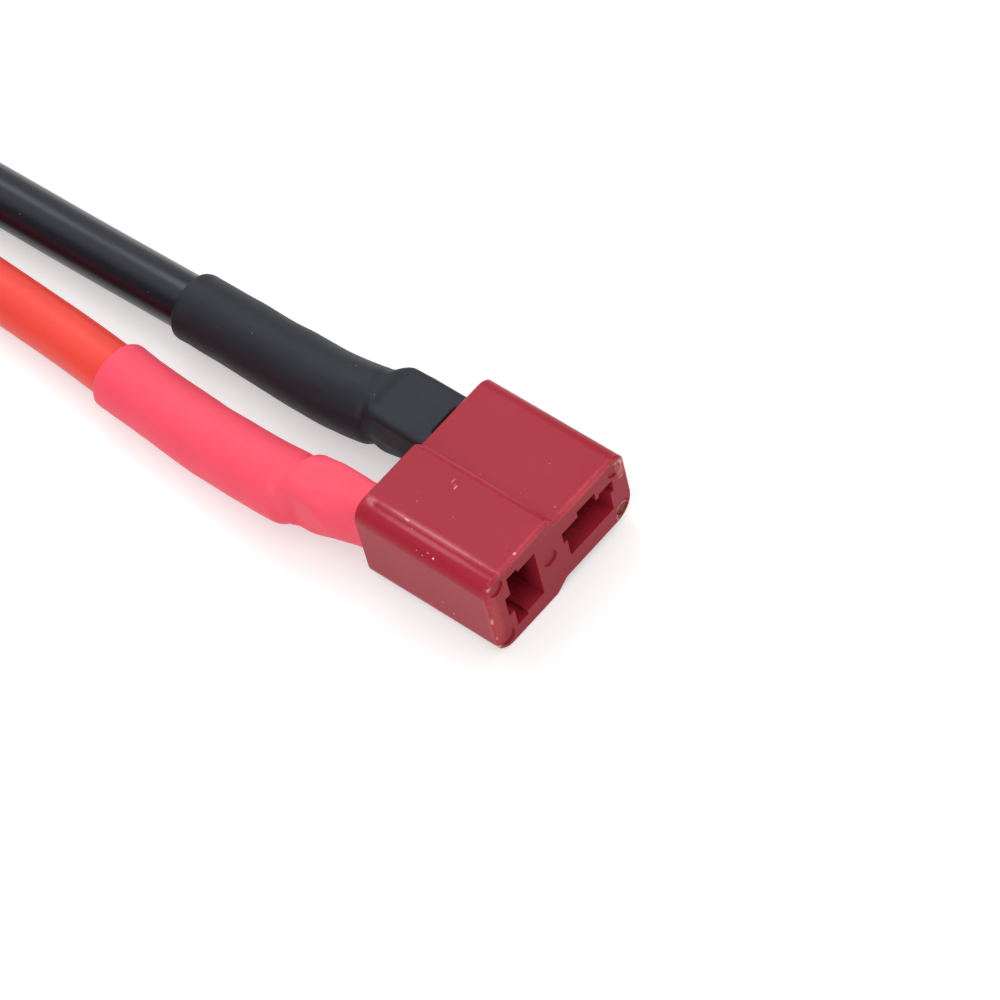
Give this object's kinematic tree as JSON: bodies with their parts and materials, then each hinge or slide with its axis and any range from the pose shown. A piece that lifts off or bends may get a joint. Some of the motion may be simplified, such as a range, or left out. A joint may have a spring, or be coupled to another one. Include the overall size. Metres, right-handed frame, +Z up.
{
  "type": "battery extension cable",
  "caption": "Short battery extension cable: a red two-blade socket and the matching plug, joined by a red and a black silicone lead with heat-shrink over the soldered tabs.",
  "frame": {"origin": "centre of the socket's mating face", "axes": "+X out of the socket's mating face, +Y across from the upright opening to the level one, +Z up"},
  "size_m": [0.108, 0.063, 0.0096],
  "materials": {
    "red_nylon": "satin",
    "red_silicone": "satin",
    "black_silicone": "satin",
    "red_sleeve": "matte",
    "black_sleeve": "matte",
    "plated_brass": "polished",
    "spring_steel": "satin",
    "tinned_copper": "satin",
    "solder": "satin"
  },
  "bodies": {
    "root": {"socket_housing": "red_nylon", "plug_housing": "red_nylon", "socket_contact_positive": "plated_brass", "socket_contact_negative": "plated_brass", "socket_spring_positive": "spring_steel", "socket_spring_negative": "spring_steel", "plug_blade_positive": "plated_brass", "plug_blade_negative": "plated_brass", "positive_conductor": "tinned_copper", "negative_conductor": "tinned_copper", "positive_jacket": "red_silicone", "negative_jacket": "black_silicone", "socket_solder_positive": "solder", "socket_solder_negative": "solder", "plug_solder_positive": "solder", "plug_solder_negative": "solder", "socket_sleeve_positive": "red_sleeve", "plug_sleeve_positive": "red_sleeve", "socket_sleeve_negative": "black_sleeve", "plug_sleeve_negative": "black_sleeve"}
  },
  "joints": []
}
